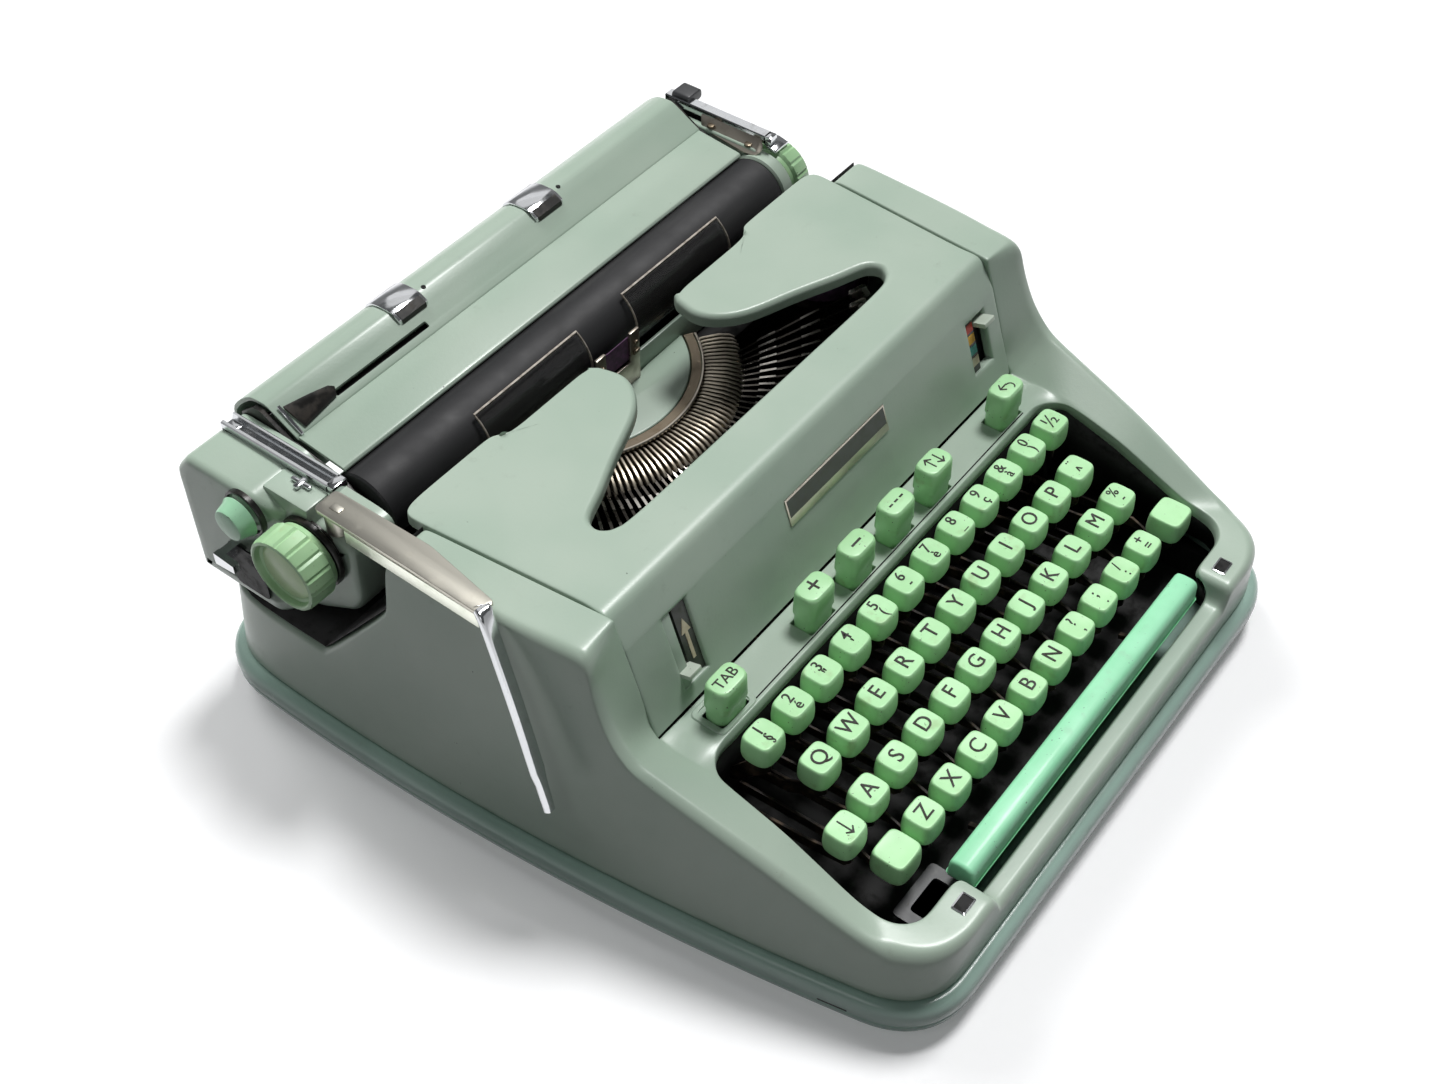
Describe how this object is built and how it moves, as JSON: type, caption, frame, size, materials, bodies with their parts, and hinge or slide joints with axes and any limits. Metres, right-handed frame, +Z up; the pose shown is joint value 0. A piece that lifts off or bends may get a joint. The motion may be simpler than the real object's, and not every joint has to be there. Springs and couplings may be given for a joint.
{
  "type": "typewriter",
  "caption": "Portable manual typewriter in a sage green painted steel case, with mint green keys, a black platen and a chrome carriage return lever.",
  "frame": {"origin": "centre of the footprint, on the table under the feet", "axes": "+X to the typist's right, +Y from the keyboard towards the carriage, +Z up"},
  "size_m": [0.347, 0.3494, 0.1389],
  "materials": {
    "paint": "semi-gloss sage green enamel",
    "base_paint": "gloss blue-green enamel",
    "key_plastic": "glossy mint green",
    "bar_plastic": "glossy aqua mint",
    "knob_plastic": "worn yellowish mint green",
    "rubber": "matte black",
    "black_steel": "satin black",
    "steel": "brushed",
    "chrome": "polished",
    "brass": "dull bronze",
    "clear_plastic": "clear, worn",
    "pale_plastic": "pale grey-green"
  },
  "bodies": {
    "case": {"base_pan": "base_paint", "foot_front_left": "rubber", "foot_front_right": "rubber", "foot_rear_left": "rubber", "foot_rear_right": "rubber", "top_shell": "paint", "main_frame": "black_steel", "key_lever_shaft": "steel", "carriage_rail": "steel", "type_segment": "brass", "type_bars": "black_steel", "type_shield": "paint", "card_holder_left": "clear_plastic", "card_holder_right": "clear_plastic"},
    "cover": {"ribbon_cover": "paint"},
    "touch": {"touch_lever": "pale_plastic"},
    "ribbon_switch": {"ribbon_selector": "pale_plastic"},
    "spool_left": {"ribbon_spool_left": "steel"},
    "spool_right": {"ribbon_spool_right": "steel"},
    "drum": {"mainspring_drum": "steel"},
    "vibrator": {"ribbon_vibrator": "brass"},
    "carriage": {"carriage_frame": "black_steel", "left_end_cover": "paint", "right_end_cover": "paint", "paper_table": "paint", "rear_hood": "paint"},
    "side_guide": {"paper_guide": "black_steel"},
    "roller": {"platen": "rubber", "left_knob": "knob_plastic", "right_knob": "knob_plastic"},
    "bail": {"paper_bail": "chrome"},
    "lever": {"return_lever": "chrome"},
    "line_spacing": {"line_space_selector": "chrome"},
    "button": {"platen_button": "key_plastic"},
    "carriage_release": {"carriage_release_lever": "black_steel"},
    "paper_release": {"paper_release_lever": "black_steel"},
    "space": {"space_bar": "bar_plastic"},
    "shift_left": {"shift_key_left": "key_plastic"},
    "shift_right": {"shift_key_right": "key_plastic"},
    "lock": {"shift_lock": "key_plastic"},
    "number_row": {"number_row_keys": "key_plastic"},
    "top_row": {"top_row_keys": "key_plastic"},
    "bottom_row": {"bottom_row_keys": "key_plastic"},
    "key_tab_body": {"key_tab": "key_plastic"},
    "key_plus_body": {"key_plus": "key_plastic"},
    "key_minus_body": {"key_minus": "key_plastic"},
    "key_dashes_body": {"key_dashes": "key_plastic"},
    "key_arrows_body": {"key_arrows": "key_plastic"},
    "key_back_space_body": {"key_back_space": "key_plastic"},
    "home_row_key_1_body": {"home_row_key_1": "key_plastic"},
    "home_row_key_2_body": {"home_row_key_2": "key_plastic"},
    "home_row_key_3_body": {"home_row_key_3": "key_plastic"},
    "home_row_key_4_body": {"home_row_key_4": "key_plastic"},
    "home_row_key_5_body": {"home_row_key_5": "key_plastic"},
    "home_row_key_6_body": {"home_row_key_6": "key_plastic"},
    "home_row_key_7_body": {"home_row_key_7": "key_plastic"},
    "home_row_key_8_body": {"home_row_key_8": "key_plastic"},
    "home_row_key_9_body": {"home_row_key_9": "key_plastic"},
    "home_row_key_10_body": {"home_row_key_10": "key_plastic"},
    "home_row_key_11_body": {"home_row_key_11": "key_plastic"}
  },
  "joints": [
    {"name": "carriage_slide", "type": "slide", "parent": "case", "child": "carriage", "axis": [1, 0, 0], "range_m": [-0.11, 0]},
    {"name": "drum_spin", "type": "hinge", "parent": "case", "child": "drum", "pos_m": [-0.088, 0.085, 0.054], "axis": [0, 0, 1], "range_deg": [-320, 0]},
    {"name": "cover_hinge", "type": "hinge", "parent": "case", "child": "cover", "pos_m": [0, -0.034, 0.072], "axis": [1, 0, 0], "range_deg": [0, 18]},
    {"name": "touch_slide", "type": "slide", "parent": "cover", "child": "touch", "axis": [0, 0.3162, 0.9487], "range_m": [0, 0.014]},
    {"name": "ribbon_switch_slide", "type": "slide", "parent": "cover", "child": "ribbon_switch", "axis": [0, 0.3162, 0.9487], "range_m": [-0.01, 0]},
    {"name": "spool_left_spin", "type": "hinge", "parent": "case", "child": "spool_left", "pos_m": [-0.105, 0.05, 0.104], "axis": [0, 0, 1], "continuous": true},
    {"name": "spool_right_spin", "type": "hinge", "parent": "case", "child": "spool_right", "pos_m": [0.105, 0.05, 0.104], "axis": [0, 0, 1], "continuous": true},
    {"name": "vibrator_lift", "type": "slide", "parent": "case", "child": "vibrator", "axis": [0, 0, 1], "range_m": [0, 0.008]},
    {"name": "platen_turn", "type": "hinge", "parent": "carriage", "child": "roller", "pos_m": [0, 0.104, 0.11], "axis": [1, 0, 0], "continuous": true},
    {"name": "bail_lift", "type": "hinge", "parent": "carriage", "child": "bail", "pos_m": [0, 0.16, 0.126], "axis": [-1, 0, 0], "range_deg": [0, 30]},
    {"name": "return_lever_swing", "type": "hinge", "parent": "carriage", "child": "lever", "pos_m": [-0.149, 0.095, 0.13], "axis": [0, 0, -1], "range_deg": [0, 25]},
    {"name": "line_spacing_slide", "type": "slide", "parent": "carriage", "child": "line_spacing", "axis": [0, 1, 0], "range_m": [-0.003, 0.003]},
    {"name": "button_push", "type": "slide", "parent": "carriage", "child": "button", "axis": [1, 0, 0], "range_m": [0, 0.003], "stiffness_N_per_m": 300, "springref_m": -0.003},
    {"name": "carriage_release_press", "type": "hinge", "parent": "carriage", "child": "carriage_release", "pos_m": [-0.1619, 0.145, 0.091], "axis": [0, 1, 0], "range_deg": [-12, 0], "stiffness_Nm_per_rad": 0.05, "springref_deg": 17.19},
    {"name": "paper_release_tilt", "type": "hinge", "parent": "carriage", "child": "paper_release", "pos_m": [0.137, 0.168, 0.114], "axis": [-1, 0, 0], "range_deg": [0, 25]},
    {"name": "side_guide_slide", "type": "slide", "parent": "carriage", "child": "side_guide", "axis": [1, 0, 0], "range_m": [0, 0.04]},
    {"name": "number_row_press", "type": "hinge", "parent": "case", "child": "number_row", "pos_m": [0, 0.04, 0.024], "axis": [1, 0, 0], "range_deg": [0, 6.7], "stiffness_Nm_per_rad": 2, "springref_deg": -6.88},
    {"name": "top_row_press", "type": "hinge", "parent": "case", "child": "top_row", "pos_m": [0, 0.04, 0.024], "axis": [1, 0, 0], "range_deg": [0, 5.7], "stiffness_Nm_per_rad": 2, "springref_deg": -6.88},
    {"name": "bottom_row_press", "type": "hinge", "parent": "case", "child": "bottom_row", "pos_m": [0, 0.04, 0.024], "axis": [1, 0, 0], "range_deg": [0, 4.4], "stiffness_Nm_per_rad": 2, "springref_deg": -8.02},
    {"name": "home_key_1_press", "type": "hinge", "parent": "case", "child": "home_row_key_1_body", "pos_m": [0, 0.04, 0.024], "axis": [1, 0, 0], "range_deg": [0, 4.4], "stiffness_Nm_per_rad": 1, "springref_deg": -3.44},
    {"name": "home_key_2_press", "type": "hinge", "parent": "case", "child": "home_row_key_2_body", "pos_m": [0, 0.04, 0.024], "axis": [1, 0, 0], "range_deg": [0, 4.4], "stiffness_Nm_per_rad": 1, "springref_deg": -3.44},
    {"name": "home_key_3_press", "type": "hinge", "parent": "case", "child": "home_row_key_3_body", "pos_m": [0, 0.04, 0.024], "axis": [1, 0, 0], "range_deg": [0, 4.4], "stiffness_Nm_per_rad": 1, "springref_deg": -3.44},
    {"name": "home_key_4_press", "type": "hinge", "parent": "case", "child": "home_row_key_4_body", "pos_m": [0, 0.04, 0.024], "axis": [1, 0, 0], "range_deg": [0, 4.4], "stiffness_Nm_per_rad": 1, "springref_deg": -3.44},
    {"name": "home_key_5_press", "type": "hinge", "parent": "case", "child": "home_row_key_5_body", "pos_m": [0, 0.04, 0.024], "axis": [1, 0, 0], "range_deg": [0, 4.4], "stiffness_Nm_per_rad": 1, "springref_deg": -3.44},
    {"name": "home_key_6_press", "type": "hinge", "parent": "case", "child": "home_row_key_6_body", "pos_m": [0, 0.04, 0.024], "axis": [1, 0, 0], "range_deg": [0, 4.4], "stiffness_Nm_per_rad": 1, "springref_deg": -3.44},
    {"name": "home_key_7_press", "type": "hinge", "parent": "case", "child": "home_row_key_7_body", "pos_m": [0, 0.04, 0.024], "axis": [1, 0, 0], "range_deg": [0, 4.4], "stiffness_Nm_per_rad": 1, "springref_deg": -3.44},
    {"name": "home_key_8_press", "type": "hinge", "parent": "case", "child": "home_row_key_8_body", "pos_m": [0, 0.04, 0.024], "axis": [1, 0, 0], "range_deg": [0, 4.4], "stiffness_Nm_per_rad": 1, "springref_deg": -3.44},
    {"name": "home_key_9_press", "type": "hinge", "parent": "case", "child": "home_row_key_9_body", "pos_m": [0, 0.04, 0.024], "axis": [1, 0, 0], "range_deg": [0, 4.4], "stiffness_Nm_per_rad": 1, "springref_deg": -3.44},
    {"name": "home_key_10_press", "type": "hinge", "parent": "case", "child": "home_row_key_10_body", "pos_m": [0, 0.04, 0.024], "axis": [1, 0, 0], "range_deg": [0, 4.4], "stiffness_Nm_per_rad": 1, "springref_deg": -3.44},
    {"name": "home_key_11_press", "type": "hinge", "parent": "case", "child": "home_row_key_11_body", "pos_m": [0, 0.04, 0.024], "axis": [1, 0, 0], "range_deg": [0, 4.4], "stiffness_Nm_per_rad": 1, "springref_deg": -3.44},
    {"name": "shift_left_press", "type": "hinge", "parent": "case", "child": "shift_left", "pos_m": [0, 0.04, 0.024], "axis": [1, 0, 0], "range_deg": [0, 2.5], "stiffness_Nm_per_rad": 1.5, "springref_deg": -4.58},
    {"name": "shift_right_press", "type": "hinge", "parent": "case", "child": "shift_right", "pos_m": [0, 0.04, 0.024], "axis": [1, 0, 0], "range_deg": [0, 2.5], "stiffness_Nm_per_rad": 1.5, "springref_deg": -4.58},
    {"name": "shift_lock_press", "type": "hinge", "parent": "case", "child": "lock", "pos_m": [0, 0.04, 0.024], "axis": [1, 0, 0], "range_deg": [0, 3.5], "stiffness_Nm_per_rad": 1.5, "springref_deg": -4.58},
    {"name": "space_bar_press", "type": "hinge", "parent": "case", "child": "space", "pos_m": [0, -0.1, 0.016], "axis": [1, 0, 0], "range_deg": [0, 8], "stiffness_Nm_per_rad": 1, "springref_deg": -8.59},
    {"name": "key_tab_press", "type": "slide", "parent": "case", "child": "key_tab_body", "axis": [0, 0, -1], "range_m": [0, 0.005], "stiffness_N_per_m": 200, "springref_m": -0.004},
    {"name": "key_plus_press", "type": "slide", "parent": "case", "child": "key_plus_body", "axis": [0, 0, -1], "range_m": [0, 0.005], "stiffness_N_per_m": 200, "springref_m": -0.004},
    {"name": "key_minus_press", "type": "slide", "parent": "case", "child": "key_minus_body", "axis": [0, 0, -1], "range_m": [0, 0.005], "stiffness_N_per_m": 200, "springref_m": -0.004},
    {"name": "key_dashes_press", "type": "slide", "parent": "case", "child": "key_dashes_body", "axis": [0, 0, -1], "range_m": [0, 0.005], "stiffness_N_per_m": 200, "springref_m": -0.004},
    {"name": "key_arrows_press", "type": "slide", "parent": "case", "child": "key_arrows_body", "axis": [0, 0, -1], "range_m": [0, 0.005], "stiffness_N_per_m": 200, "springref_m": -0.004},
    {"name": "key_back_space_press", "type": "slide", "parent": "case", "child": "key_back_space_body", "axis": [0, 0, -1], "range_m": [0, 0.005], "stiffness_N_per_m": 200, "springref_m": -0.004}
  ],
  "couplings": [
    {"joint": "drum_spin", "follows": "carriage_slide", "rad_per_m": 50},
    {"joint": "shift_right_press", "follows": "shift_left_press", "ratio": 1}
  ]
}
